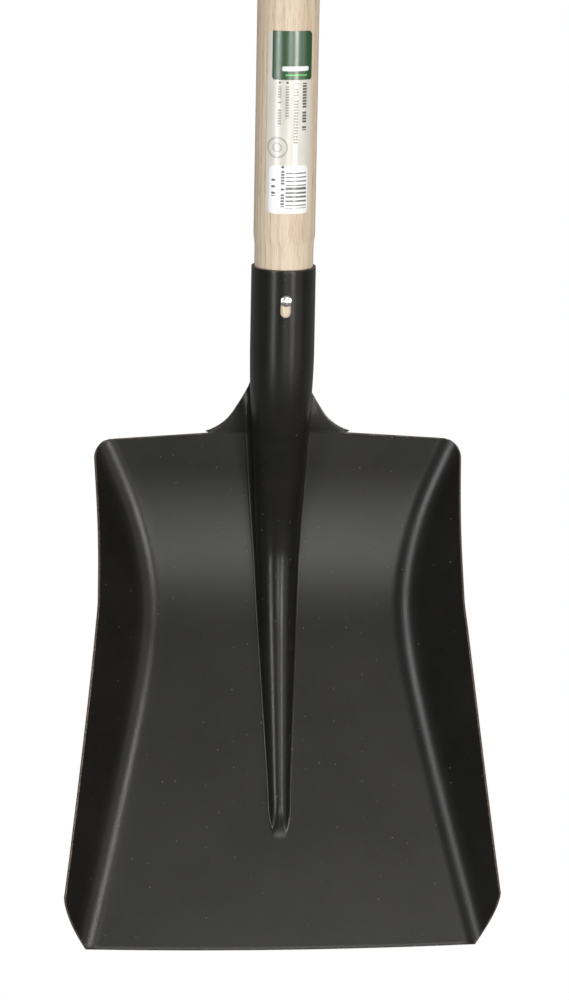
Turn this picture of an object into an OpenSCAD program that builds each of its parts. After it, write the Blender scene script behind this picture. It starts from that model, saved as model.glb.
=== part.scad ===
// Square-mouth scoop shovel lying on its back: pressed steel blade with a rolled socket,
// ash shaft and moulded D-grip. Y runs along the shaft from the tip to the grip, X is across
// the blade and Z is up. The heel, the socket and the grip neck lie on the plane Z = 0.

/* [Blade] */
// Thickness of the steel sheet
sheet = 1.6; // [1.2:0.1:2.4]
// Length of the blade along its floor, from the tip to the shoulders
blade_len = 343; // [300:1:420]
// Width of the straight tip edge
tip_w = 257; // [200:1:300]
// Width across the front wing corners
front_w = 286; // [230:1:330]
// Width across the rear corners
rear_w = 242; // [190:1:280]
// Distance from the tip back to the front wing corners
corner_back = 34; // [24:1:50]
// Width of the flat floor where it is narrowest
floor_w = 151; // [120:1:180]
// Angle of the raised side wings
wing_angle = 50; // [35:1:60]
// Radius of the bend between floor and wing
fold_r = 26; // [14:1:32]
// Angle between the front of the blade and the shaft
lift = 19; // [10:1:26]
// Length of the flat heel in front of the shoulders
heel_len = 24; // [16:1:34]
// Length of the curved part of the floor
bend_len = 108; // [90:1:125]
// Radius of the rear corners
rear_corner_r = 10; // [5:1:16]
// Slope of the shoulder edges
shoulder_slope = 3.6; // [0:0.1:6]
// How far the tip edge bows forward in the middle
tip_bow = 2; // [0:0.5:5]

/* [Rib] */
// Radius of the rib crest at its front end
rib_r = 6.8; // [5:0.1:9]
// Height of the rib at its front end
rib_h = 4; // [3:0.1:6]
// Distance from the tip to the front end of the rib
rib_start = 73; // [60:1:110]
// Length of the rounded front end of the rib
rib_nose = 21; // [14:1:30]
// Radius of the crest where the frog meets the rib
kink_r = 12.8; // [10:0.1:15]
// Height of the crest where the frog meets the rib
kink_h = 14.5; // [11:0.5:18]
// Distance from the shoulders forward to the place where frog and rib meet
kink_back = 82; // [70:1:95]
// Radius of the fillet between rib and floor
rib_fillet = 3.4; // [2.5:0.1:4.5]
// Radius of the fillet between frog and floor at the shoulders
neck_root_r = 5.5; // [4:0.1:7]

/* [Socket] */
// Outside diameter of the rolled socket
socket_od = 42; // [38:0.2:51]
// Length of the socket from the shoulders to its mouth
socket_len = 115; // [95:1:140]
// Length over which the neck rolls up into a closed tube
roll_len = 84; // [60:1:94]
// Distance from the shoulders back to the place where the socket starts to fall towards the blade
frog_back = 60; // [40:1:70]
// Gap between the rolled edges at the back
seam_gap = 2.4; // [1:0.1:5]
// Radius of the blank between shoulder and neck
neck_fillet = 14; // [8:1:18]
// Width of the fixing slot
slot_w = 7; // [5:0.1:8]
// Overall length of the fixing slot
slot_len = 15; // [10:0.5:20]
// Distance from the socket mouth to the near end of the slot
slot_back = 16; // [12:0.5:30]

/* [Shaft] */
// Diameter of the shaft
shaft_d = 40; // [36:0.5:48]
// Length of shaft seen between socket and grip
shaft_len = 530; // [400:5:900]
// Gap between the shaft and the inside of the socket, all round
socket_gap = 0.25; // [0.2:0.05:0.5]
// Length of the reduced shaft seen above the socket mouth
neck_show = 20; // [8:1:40]
// Length of the tapered end in the open frog
taper_len = 53; // [35:1:60]
// Gap between the tip of the tapered end and the crest above it
taper_gap = 0.8; // [0.5:0.1:2]
// Diameter of the reduced end inside the grip
top_d = 36; // [30:0.5:36]

/* [Grip] */
// Outside diameter of the grip neck
grip_neck_od = 42; // [41:0.2:51]
// Length of the grip neck
grip_neck_len = 48; // [45:1:60]
// Depth of the socket for the shaft in the grip neck
grip_bore_len = 40; // [30:1:42]
// Overall length of the grip
grip_len = 135; // [125:1:155]
// Overall width of the grip
grip_w = 122; // [105:1:140]
// Diameter of the hand bar
bar_d = 28; // [24:1:32]
// Thickness of the side arms
arm_t = 15; // [12:1:18]
// Depth of the side arms, front to back
arm_depth = 22; // [16:1:26]
// Distance from the grip neck's start to the elbows of the arms
elbow_back = 66; // [60:1:80]
// Distance from the outer side of the arms in to the ends of the hand bar
bar_set_in = 1.5; // [1:0.5:3]
// Gap between the grip neck's bore and the shaft, all round
grip_gap = 0.1; // [0.05:0.05:0.3]

/* [Screws] */
// Diameter of the screw heads
screw_head_d = 7.6; // [7:0.1:10]
// Height of the screw heads
screw_head_h = 2.6; // [2:0.1:3.5]
// Diameter of the screw shanks
screw_d = 4; // [3:0.5:5]
// Length of the screw shanks
screw_len = 14; // [8:1:15]

/* [Label] */
// Length of the film label along the shaft
label_len = 118; // [80:1:150]
// Width of the film label, measured round the shaft
label_w = 31; // [20:1:40]
// Distance from the socket mouth to the label
label_up = 37; // [24:1:80]
// Thickness of the film
label_t = 0.2; // [0.15:0.05:0.4]
// Radius of the label's corners
label_corner_r = 3; // [1:0.5:6]
// Angle by which the label sits off the middle of the shaft
label_turn = 0.5; // [-10:0.5:10]

/* [Hidden] */
$fn = 48;

steel_black = [0.09, 0.09, 0.10];
ash = [0.86, 0.74, 0.55];
zinc = [0.78, 0.79, 0.80];
plastic_black = [0.13, 0.13, 0.14];
film = [0.80, 0.80, 0.76];

// The middle of the sheet's thickness carries the shape, so radii and heights refer to it.
tube_r = (socket_od - sheet) / 2;
axis_z = socket_od / 2;
bend_r = bend_len / (lift * PI / 180);
front_len = blade_len - heel_len - bend_len;
seam_s = PI * tube_r - seam_gap / 2;

// Places along Y, measured from the shoulders before the whole shovel is centred.
y_tip = -(heel_len + bend_r * sin(lift) + front_len * cos(lift));
y_mouth = socket_len;
y_grip = y_mouth + shaft_len;
y_end = y_grip + grip_len;
y_shift = -(y_tip + y_end) / 2;

// The heel and the socket lie flat. A shaft or grip neck thicker than the socket lifts the shaft,
// and the blade then rolls forward on its bend.
function tilt_for(y, r) = asin(max(0, r - axis_z) / (y + heel_len));
rest_tilt = max(tilt_for(y_mouth + neck_show, shaft_d / 2), tilt_for(y_grip, grip_neck_od / 2));
heel_drop = heel_len * sin(rest_tilt) + bend_r * (1 - cos(rest_tilt));

// Columns of the half cross-section, counted from the crest outwards.
crest_cols = 9;
fillet_cols = 3;
neck_col = crest_cols + fillet_cols + 1;
fold_col = neck_col + 2;
rim_col = fold_col + 6;
neck_share = 0.27;
mid_share = 0.62;

// Rows across the blade: [from, to, number], as distances from the tip.
blade_spans = [
    [0, corner_back, 6],
    [corner_back, rib_start - 3, 3],
    [rib_start - 3, rib_start + rib_nose, 6],
    [rib_start + rib_nose, front_len, 6],
    [front_len, blade_len - kink_back, 4],
    [blade_len - kink_back, blade_len - heel_len, 5],
    [blade_len - heel_len, blade_len - rear_corner_r, 2],
    [blade_len - rear_corner_r, blade_len, 4],
];
// Rows along the neck and socket, as distances from the shoulders.
neck_spans = [
    [0, neck_fillet, 5],
    [neck_fillet, frog_back, 4],
    [frog_back, roll_len, 3],
    [roll_len, socket_len, 1],
];

function spread(spans) = [for (s = spans) for (k = [1 : s[2]]) s[0] + (s[1] - s[0]) * k / s[2]];
blade_rows = concat([0], spread(blade_spans));
neck_rows = spread(neck_spans);
last_blade = len(blade_rows) - 1;
last_row = last_blade + len(neck_rows);

function mix(a, b, k) = a + (b - a) * k;
function share(v, a, b) = min(max((v - a) / (b - a), 0), 1);
function smooth(k) = k * k * (3 - 2 * k);

// Floor line: place [y, z] and slope of the floor at a distance back from the tip.
function floor_slope(u) = share(blade_len - heel_len - u, 0, bend_len) * lift;
function floor_y(u) =
    let (d = blade_len - u, a = floor_slope(u))
    d <= heel_len ? -d
    : -heel_len - bend_r * sin(a) - max(0, d - heel_len - bend_len) * cos(lift);
function floor_z(u) =
    let (d = blade_len - u, a = floor_slope(u))
    sheet / 2 + bend_r * (1 - cos(a)) + max(0, d - heel_len - bend_len) * sin(lift);

// Half widths of the flat floor and of the wing rim at a distance back from the tip. Both are
// narrowest near the waist, just behind the flat front. The floor's sides run straight towards
// the tip and round off into the waist.
waist = front_len + 16;
rim_waist = rear_w / 2 - 0.8;
rim_dip = 1.2;
tip_floor = tip_w / 2 - 8;
rear_floor = rear_w / 2 - 15;
waist_round = 0.2;
function flared(k) =
    (sqrt(k * k + pow(waist_round, 2)) - waist_round)
    / (sqrt(1 + pow(waist_round, 2)) - waist_round);
function floor_half(u) =
    u < waist
    ? mix(floor_w / 2, tip_floor, flared(1 - u / waist))
    : mix(floor_w / 2, rear_floor, pow((u - waist) / (blade_len - waist), 1.7));
function rim_half(u) =
    let (
        tail = max(0, u - (blade_len - rear_corner_r)),
        k = share(u, waist, blade_len - rear_corner_r)
    )
    u < corner_back
    ? mix(tip_w / 2, front_w / 2, 1 - pow(1 - u / corner_back, 1.55))
    : u < waist
    ? mix(rim_waist, front_w / 2, pow(1 - (u - corner_back) / (waist - corner_back), 1.1))
    : mix(rim_waist, rear_w / 2, k) - rim_dip * sin(180 * k)
      - rear_corner_r + sqrt(pow(rear_corner_r, 2) - pow(tail, 2));

// Crest line: the socket's top falls along an S-curve to the place where the rib begins.
kink_u = blade_len - kink_back;
nose_u = rib_start + rib_nose;
kink_z = floor_z(kink_u) + kink_h * cos(floor_slope(kink_u));
tube_top = sheet / 2 + 2 * tube_r;
function crest_z(y) = mix(kink_z, tube_top, smooth(share(y, floor_y(kink_u), frog_back)));

// Rib and frog at a distance back from the tip: crest radius, crest height and foot fillet.
function crest_r(u) =
    u > kink_u
    ? mix(kink_r, tube_r, share(u, kink_u, blade_len + frog_back))
    : mix(rib_r, kink_r, share(u, nose_u, kink_u));
function crest_h(u) =
    u > kink_u
    ? (crest_z(floor_y(u)) - floor_z(u)) / cos(floor_slope(u))
    : mix(rib_h, kink_h, pow(share(u, nose_u, kink_u), 1.4));
function foot_r(u) = mix(rib_fillet, neck_root_r, share(u, kink_u, blade_len));

// Half cross-section as [x, height]: crest arc, straight flank, foot fillet, then flat floor.
// Each is measured by its length s along the sheet from the crest.
function crest_angle(r, h, f) = h >= r + f ? 90 : acos(1 - h / (r + f));
function flank_len(r, h, f) = max(0, h - r - f);
function crest_run(r, h, f) = r * crest_angle(r, h, f) * PI / 180 + flank_len(r, h, f);
function foot_run(r, h, f) = f * crest_angle(r, h, f) * PI / 180;
function foot_x(r, h, f) = (r + f) * sin(crest_angle(r, h, f));
function section_point(r, h, f, s) =
    let (
        a = crest_angle(r, h, f),
        arc = r * a * PI / 180,
        run = crest_run(r, h, f),
        turn = foot_run(r, h, f),
        b = a * (1 - (s - run) / max(turn, 0.001))
    )
    s < arc ? [r * sin(s * a / arc), h - r * (1 - cos(s * a / arc))]
    : s < run
    ? [r * sin(a) + (s - arc) * cos(a), h - r * (1 - cos(a)) - (s - arc) * sin(a)]
    : s < run + turn ? [foot_x(r, h, f) - f * sin(b), f * (1 - cos(b))]
    : [foot_x(r, h, f) + s - run - turn, 0];
function rib_s(r, h, f, j) =
    crest_run(r, h, f) * min(j, crest_cols) / crest_cols
    + foot_run(r, h, f) * max(0, j - crest_cols) / fillet_cols;
function rib_point(u, j) =
    let (r = crest_r(u), h = crest_h(u), f = foot_r(u))
    section_point(r, h, f, rib_s(r, h, f, j));

// The front end of the rib sinks into the floor and narrows a little; the plain floor follows.
nose_spread = 0.8;
function nose(u) = smooth(share(u, rib_start, nose_u));
function rib_spread(u) =
    u < rib_start ? mix(3, nose_spread, u / rib_start) : mix(nose_spread, 1, nose(u));
function ribbed(u, j) =
    let (p = rib_point(u, j))
    [p[0] * rib_spread(u), p[1] * nose(u)];

// Fold and wing: an arc that leaves the floor, then a straight wall out to the rim.
function wing_point(u, k) =
    let (
        reach = rim_half(u) - floor_half(u),
        a = min(wing_angle, asin(min(1, reach / fold_r))),
        arc = fold_r * a * PI / 180,
        wall = max(0, (reach - fold_r * sin(a)) / cos(a)),
        s = (arc + wall) * k,
        bent = min(s, arc),
        b = bent / fold_r * 180 / PI
    )
    [floor_half(u) + fold_r * sin(b) + (s - bent) * cos(a),
     fold_r * (1 - cos(b)) + (s - bent) * sin(a)];

function blade_section(u, j) =
    let (
        foot = ribbed(u, neck_col - 1)[0],
        k = j == neck_col ? neck_share : j == neck_col + 1 ? mid_share : 1
    )
    j < neck_col ? ribbed(u, j)
    : j <= fold_col ? [mix(foot, floor_half(u), k), 0]
    : wing_point(u, (j - fold_col) / (rim_col - fold_col));

// Neck: the open section at the shoulders rolls up into the round socket behind the shaft.
function edge_s(d) = seam_s + neck_fillet
    - sqrt(pow(neck_fillet, 2) - pow(max(0, neck_fillet - d), 2));
function round_point(s) =
    let (a = s / tube_r * 180 / PI)
    [tube_r * sin(a), tube_r * (1 + cos(a))];
function neck_section(d, j) =
    let (
        u = blade_len + d,
        r = crest_r(u),
        h = crest_h(u),
        f = foot_r(u),
        k = share(d, 0, roll_len),
        rolled = 1.2 * k - 0.2 * pow(k, 6),
        open_s = j < neck_col ? rib_s(r, h, f, j) : edge_s(d),
        s = mix(open_s, edge_s(d) * j / neck_col, rolled)
    )
    mix(section_point(r, h, f, s), round_point(s), rolled);

// Skew of the rows: the tip edge bows forward and the shoulder edges slope down.
function bow(u, x) = tip_bow * pow(2 * x / tip_w, 2) * (1 - share(u, 0, 60));
function drop(u, x) = tan(shoulder_slope) * max(0, x - tube_r - 20)
    * smooth(share(u, blade_len - 90, blade_len));

function placed(u, p) =
    let (a = floor_slope(u), x = p[0])
    [x, floor_y(u) + p[1] * sin(a), floor_z(u) + p[1] * cos(a)];
function sheet_point(i, j) =
    let (
        k = abs(j),
        u = i <= last_blade ? blade_rows[i] : blade_len + neck_rows[i - last_blade - 1],
        p = i <= last_blade ? blade_section(u, k) : neck_section(u - blade_len, k),
        q = placed(i <= last_blade ? u + bow(u, p[0]) - drop(u, p[0]) : u, p)
    )
    [j < 0 ? -q[0] : q[0], q[1], q[2]];

// Grid of points in the middle of the sheet, wide on the blade and narrow on the neck.
function half_cols(i) = i <= last_blade ? rim_col : neck_col;
mid_grid = [
    for (i = [0 : last_row])
    [for (j = [-half_cols(i) : half_cols(i)]) sheet_point(i, j)]
];
function mid_at(i, j) = mid_grid[i][j + half_cols(i)];
function row_after(i, j) = i < last_row && abs(j) <= half_cols(i + 1) ? i + 1 : i;
function sheet_normal(i, j) =
    let (
        w = half_cols(i),
        along = mid_at(row_after(i, j), j) - mid_at(max(0, i - 1), j),
        across = mid_at(i, min(w, j + 1)) - mid_at(i, max(-w, j - 1)),
        n = cross(across, along)
    )
    n / norm(n);
function skin(side) = [
    for (i = [0 : last_row])
    for (j = [-half_cols(i) : half_cols(i)])
    mid_at(i, j) + side * sheet / 2 * sheet_normal(i, j)
];
blade_count = (last_blade + 1) * (2 * rim_col + 1);
skin_count = blade_count + len(neck_rows) * (2 * neck_col + 1);
function at(i, j) =
    i <= last_blade
    ? i * (2 * rim_col + 1) + j + rim_col
    : blade_count + (i - last_blade - 1) * (2 * neck_col + 1) + j + neck_col;

// Outline of the sheet, walked once round from the left end of the tip edge.
outline = concat(
    [for (j = [-rim_col : rim_col]) at(0, j)],
    [for (i = [1 : last_blade]) at(i, rim_col)],
    [for (j = [rim_col - 1 : -1 : neck_col]) at(last_blade, j)],
    [for (i = [last_blade + 1 : last_row]) at(i, neck_col)],
    [for (j = [neck_col - 1 : -1 : -neck_col]) at(last_row, j)],
    [for (i = [last_row - 1 : -1 : last_blade + 1]) at(i, -neck_col)],
    [for (j = [-neck_col : -1 : -rim_col]) at(last_blade, j)],
    [for (i = [last_blade - 1 : -1 : 1]) at(i, -rim_col)]
);

function skin_faces(base, flip) = [
    for (i = [0 : last_row - 1])
    let (w = half_cols(i + 1))
    for (j = [-w : w - 1])
    let (a = base + at(i, j), b = base + at(i, j + 1), c = base + at(i + 1, j + 1),
         d = base + at(i + 1, j))
    for (tri = j < 0 ? [[a, b, c], [a, c, d]] : [[a, b, d], [b, c, d]])
    flip ? tri : [tri[2], tri[1], tri[0]]
];
edge_faces = [
    for (k = [0 : len(outline) - 1])
    let (a = outline[k], b = outline[(k + 1) % len(outline)])
    for (tri = [[a, b + skin_count, b], [a, a + skin_count, b + skin_count]])
    tri
];

module lay_down() {
    translate([0, y_shift, heel_drop]) rotate([rest_tilt, 0, 0]) children();
}

// Solid of revolution round the shaft's axis, drawn as [distance along Y, radius].
module turned(outline_yr) {
    translate([0, 0, axis_z])
        rotate([-90, 0, 0])
            rotate_extrude($fn = 96)
                polygon([for (p = outline_yr) [p[1], p[0]]]);
}

// Slot with round ends through the wall of the socket, facing up.
module fixing_slot() {
    r = slot_w / 2;
    y_near = y_mouth - slot_back - r;
    y_far = y_mouth - slot_back - slot_len + r;
    translate([0, 0, axis_z + tube_r - 4]) {
        translate([0, y_near, 0]) cylinder(h = 8, r = r);
        translate([0, y_far, 0]) cylinder(h = 8, r = r);
        translate([-r, y_far, 0]) cube([slot_w, y_near - y_far, 8]);
    }
}

module blade() {
    color(steel_black)
        lay_down()
            difference() {
                polyhedron(
                    points = concat(skin(1), skin(-1)),
                    faces = concat(skin_faces(0, false), skin_faces(skin_count, true), edge_faces)
                );
                fixing_slot();
            }
}

// Cross-head screw along -Z with its seat at the origin.
module pan_screw() {
    difference() {
        union() {
            translate([0, 0, -screw_len]) cylinder(h = screw_len, d = screw_d);
            intersection() {
                cylinder(h = screw_head_h, d = screw_head_d);
                translate([0, 0, screw_head_h - screw_head_d]) sphere(r = screw_head_d, $fn = 64);
            }
        }
        for (a = [0, 90])
            rotate([0, 0, a])
                translate([-screw_head_d * 0.3, -0.6, screw_head_h - 1.3])
                    cube([screw_head_d * 0.6, 1.2, 2]);
    }
}

module at_socket_screw() {
    y = y_mouth - slot_back - slot_w / 2;
    seat = sqrt(pow(socket_od / 2, 2) - pow(slot_w / 2, 2));
    translate([0, y, axis_z + seat]) children();
}

module at_grip_screw(side) {
    y = y_grip + grip_bore_len / 2;
    translate([0, y, axis_z])
        rotate([0, side * 90, 0])
            translate([0, 0, grip_neck_od / 2 - 0.3])
                children();
}

module pilot() {
    translate([0, 0, -screw_len]) cylinder(h = screw_len + 1, d = screw_d);
}

module shaft() {
    neck_r = tube_r - sheet / 2 - socket_gap;
    y_low = frog_back - taper_len;
    low_r = crest_z(y_low) - sheet / 2 - axis_z - taper_gap;
    color(ash)
        lay_down()
            difference() {
                turned([
                    [y_low, 0],
                    [y_low, low_r],
                    [frog_back, neck_r],
                    [y_mouth + neck_show - 4, neck_r],
                    [y_mouth + neck_show, shaft_d / 2],
                    [y_grip - 1, shaft_d / 2],
                    [y_grip, shaft_d / 2 - 1],
                    [y_grip, top_d / 2],
                    [y_grip + grip_bore_len - 2, top_d / 2],
                    [y_grip + grip_bore_len, top_d / 2 - 2],
                    [y_grip + grip_bore_len, 0],
                ]);
                at_socket_screw() pilot();
                at_grip_screw(1) pilot();
                at_grip_screw(-1) pilot();
            }
}

module socket_screw() {
    color(zinc) lay_down() at_socket_screw() pan_screw();
}

module grip_screw(side) {
    color(zinc) lay_down() at_grip_screw(side) pan_screw();
}

// Straight bar between two points in the plane of the grip. It runs on past both of them, so
// that bars which meet at an angle fill their corner.
module flat_bar(from, to) {
    run = to - from;
    overrun = arm_t / 4;
    translate([from[0], from[1], axis_z - arm_depth / 2])
        rotate([0, 0, atan2(run[1], run[0])])
            translate([-overrun, -arm_t / 2, 0])
                cube([norm(run) + 2 * overrun, arm_t, arm_depth]);
}

module arm(side) {
    root = [side * (grip_neck_od - arm_t) / 2, y_grip + grip_neck_len - 4];
    elbow = [side * (grip_w - arm_t) / 2, y_grip + elbow_back];
    flat_bar(root, elbow);
    flat_bar(elbow, [elbow[0], y_end - bar_d / 2]);
}

module d_grip() {
    y_bar = y_end - bar_d / 2;
    bar_half = grip_w / 2 - bar_set_in;
    color(plastic_black)
        lay_down()
            difference() {
                union() {
                    turned([
                        [y_grip, 0],
                        [y_grip, grip_neck_od / 2 - 1],
                        [y_grip + 1, grip_neck_od / 2],
                        [y_grip + grip_neck_len - 8, grip_neck_od / 2],
                        [y_grip + grip_neck_len + 2, grip_neck_od / 2 - 8],
                        [y_grip + grip_neck_len + 2, 0],
                    ]);
                    arm(1);
                    arm(-1);
                    translate([-bar_half, y_bar, axis_z])
                        rotate([0, 90, 0])
                            cylinder(h = 2 * bar_half, d = bar_d);
                }
                turned([
                    [y_grip - 1, 0],
                    [y_grip - 1, top_d / 2 + grip_gap],
                    [y_grip + grip_bore_len, top_d / 2 + grip_gap],
                    [y_grip + grip_bore_len, 0],
                ]);
                at_grip_screw(1) pilot();
                at_grip_screw(-1) pilot();
            }
}

module product_label() {
    half = label_w / 2 / (shaft_d / 2) * 180 / PI;
    reach = shaft_d / 2 * sin(half);
    y0 = y_mouth + label_up;
    c = label_corner_r;
    color(film)
        lay_down()
            translate([0, 0, axis_z])
                rotate([0, label_turn, 0])
                    intersection() {
                        translate([0, y0 - 1, 0])
                            rotate([-90, 0, 0])
                                difference() {
                                    cylinder(h = label_len + 2, r = shaft_d / 2 + label_t, $fn = 96);
                                    translate([0, 0, -1])
                                        cylinder(h = label_len + 4, r = shaft_d / 2, $fn = 96);
                                }
                        union() {
                            translate([-reach, y0 + c, 0])
                                cube([2 * reach, label_len - 2 * c, shaft_d]);
                            translate([-reach + c, y0, 0])
                                cube([2 * reach - 2 * c, label_len, shaft_d]);
                            for (x = [-reach + c, reach - c], y = [y0 + c, y0 + label_len - c])
                                translate([x, y, 0]) cylinder(h = shaft_d, r = c);
                        }
                    }
}

blade();
shaft();
socket_screw();
d_grip();
grip_screw(-1);  // grip_screw_left
grip_screw(1);  // grip_screw_right
product_label();
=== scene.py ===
"""Looks of a square-mouth scoop shovel: painted steel blade, ash shaft, moulded D-grip."""

import logging
import math
from dataclasses import dataclass, field
from enum import Enum

import bmesh
import bpy
import numpy as np
from mathutils import Matrix, Vector, kdtree


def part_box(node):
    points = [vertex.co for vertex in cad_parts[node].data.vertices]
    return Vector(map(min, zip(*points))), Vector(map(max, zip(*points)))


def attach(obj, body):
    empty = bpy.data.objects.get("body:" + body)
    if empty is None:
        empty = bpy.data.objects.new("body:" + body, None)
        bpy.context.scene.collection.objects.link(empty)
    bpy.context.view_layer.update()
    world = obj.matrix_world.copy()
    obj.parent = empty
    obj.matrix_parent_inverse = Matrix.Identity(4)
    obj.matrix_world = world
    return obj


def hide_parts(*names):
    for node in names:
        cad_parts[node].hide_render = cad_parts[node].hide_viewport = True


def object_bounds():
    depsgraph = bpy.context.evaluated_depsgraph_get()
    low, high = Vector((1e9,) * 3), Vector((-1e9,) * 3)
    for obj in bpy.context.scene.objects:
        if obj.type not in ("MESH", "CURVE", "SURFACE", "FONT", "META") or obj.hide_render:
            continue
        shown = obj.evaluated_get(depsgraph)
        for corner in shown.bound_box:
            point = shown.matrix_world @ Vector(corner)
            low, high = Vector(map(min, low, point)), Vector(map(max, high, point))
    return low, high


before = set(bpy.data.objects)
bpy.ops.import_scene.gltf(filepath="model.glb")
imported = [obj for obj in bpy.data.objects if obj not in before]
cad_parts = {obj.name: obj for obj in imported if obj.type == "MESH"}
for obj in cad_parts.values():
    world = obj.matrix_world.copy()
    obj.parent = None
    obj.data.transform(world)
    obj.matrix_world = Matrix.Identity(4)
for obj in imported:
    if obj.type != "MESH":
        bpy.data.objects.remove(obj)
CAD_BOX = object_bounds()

LOG = logging.getLogger("scoop")
MM = 0.001
BODY = "root"
# How deep a screw head is sunk into the grip, and the gap under the tapered foot, in mm
HEAD_SINK = 0.3
FOOT_GAP = 0.8
Point = tuple[float, float, float]
Colour = tuple[float, float, float]


def mix(a: float, b: float, k: float) -> float:
    """Blend two numbers.

    Args:
        a: value at k = 0.
        b: value at k = 1.
        k: share of b.

    Returns:
        The blended number.
    """
    return a + (b - a) * k


def share(v: float, a: float, b: float) -> float:
    """Tell how far a value is on its way between two others.

    Args:
        v: the value.
        a: value that counts as 0.
        b: value that counts as 1.

    Returns:
        A share from 0 to 1.
    """
    return min(max((v - a) / (b - a), 0.0), 1.0)


def smooth(k: float) -> float:
    """Return the share k eased in and out."""
    return k * k * (3.0 - 2.0 * k)


# ---------------------------------------------------------------- shader maths


class Sock:
    """A shader socket; arithmetic on it adds Math nodes."""

    def __init__(self, shader: "Shader", socket: bpy.types.NodeSocket) -> None:
        """Wrap a socket.

        Args:
            shader: the material being wired.
            socket: an output socket of one of its nodes.
        """
        self.shader = shader
        self.socket = socket

    def math(self, operation: str, *inputs: "Sock | float", clamp: bool = False) -> "Sock":
        """Add one Math node.

        Args:
            operation: Blender's name of the operation.
            inputs: its operands in order.
            clamp: whether the result stays between 0 and 1.

        Returns:
            The node's value.
        """
        settings = {"operation": operation, "use_clamp": clamp}
        return self.shader.node("ShaderNodeMath", settings, dict(enumerate(inputs)))

    def __add__(self, other: "Sock | float") -> "Sock":
        """Return self + other."""
        return self.math("ADD", self, other)

    def __radd__(self, other: float) -> "Sock":
        """Return other + self."""
        return self.math("ADD", other, self)

    def __sub__(self, other: "Sock | float") -> "Sock":
        """Return self - other."""
        return self.math("SUBTRACT", self, other)

    def __rsub__(self, other: float) -> "Sock":
        """Return other - self."""
        return self.math("SUBTRACT", other, self)

    def __mul__(self, other: "Sock | float") -> "Sock":
        """Return self * other."""
        return self.math("MULTIPLY", self, other)

    def __rmul__(self, other: float) -> "Sock":
        """Return other * self."""
        return self.math("MULTIPLY", other, self)

    def __truediv__(self, other: "Sock | float") -> "Sock":
        """Return self / other."""
        return self.math("DIVIDE", self, other)

    def __rtruediv__(self, other: float) -> "Sock":
        """Return other / self."""
        return self.math("DIVIDE", other, self)

    def __pow__(self, other: "Sock | float") -> "Sock":
        """Return self to the power of other."""
        return self.math("POWER", self, other)

    def __lt__(self, other: "Sock | float") -> "Sock":
        """Return 1 where self is below other, else 0."""
        return self.math("LESS_THAN", self, other)

    def __gt__(self, other: "Sock | float") -> "Sock":
        """Return 1 where self is above other, else 0."""
        return self.math("GREATER_THAN", self, other)

    def __abs__(self) -> "Sock":
        """Return the value without its sign."""
        return self.math("ABSOLUTE", self)

    def floor(self) -> "Sock":
        """Return the next whole number below."""
        return self.math("FLOOR", self)

    def at_least(self, low: float) -> "Sock":
        """Return the value, held at low or above it."""
        return self.math("MAXIMUM", self, low)

    def clamped(self) -> "Sock":
        """Return the value held between 0 and 1."""
        return self.math("ADD", self, 0.0, clamp=True)

    def rise(self, start: float, end: float) -> "Sock":
        """Ease from 0 to 1 as the value goes from start to end.

        Args:
            start: value that gives 0.
            end: value that gives 1.

        Returns:
            The eased share.
        """
        settings = {"interpolation_type": "SMOOTHSTEP"}
        return self.shader.node("ShaderNodeMapRange", settings, {0: self, 1: start, 2: end})

    def band(self, low: float, high: float, soft: float) -> "Sock":
        """Give 1 between two values with soft sides.

        Args:
            low: where the band begins.
            high: where it ends.
            soft: half the width of each side.

        Returns:
            The band's mask.
        """
        up = self.rise(low - soft, low + soft)
        return up * (1 - self.rise(high - soft, high + soft))


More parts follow.
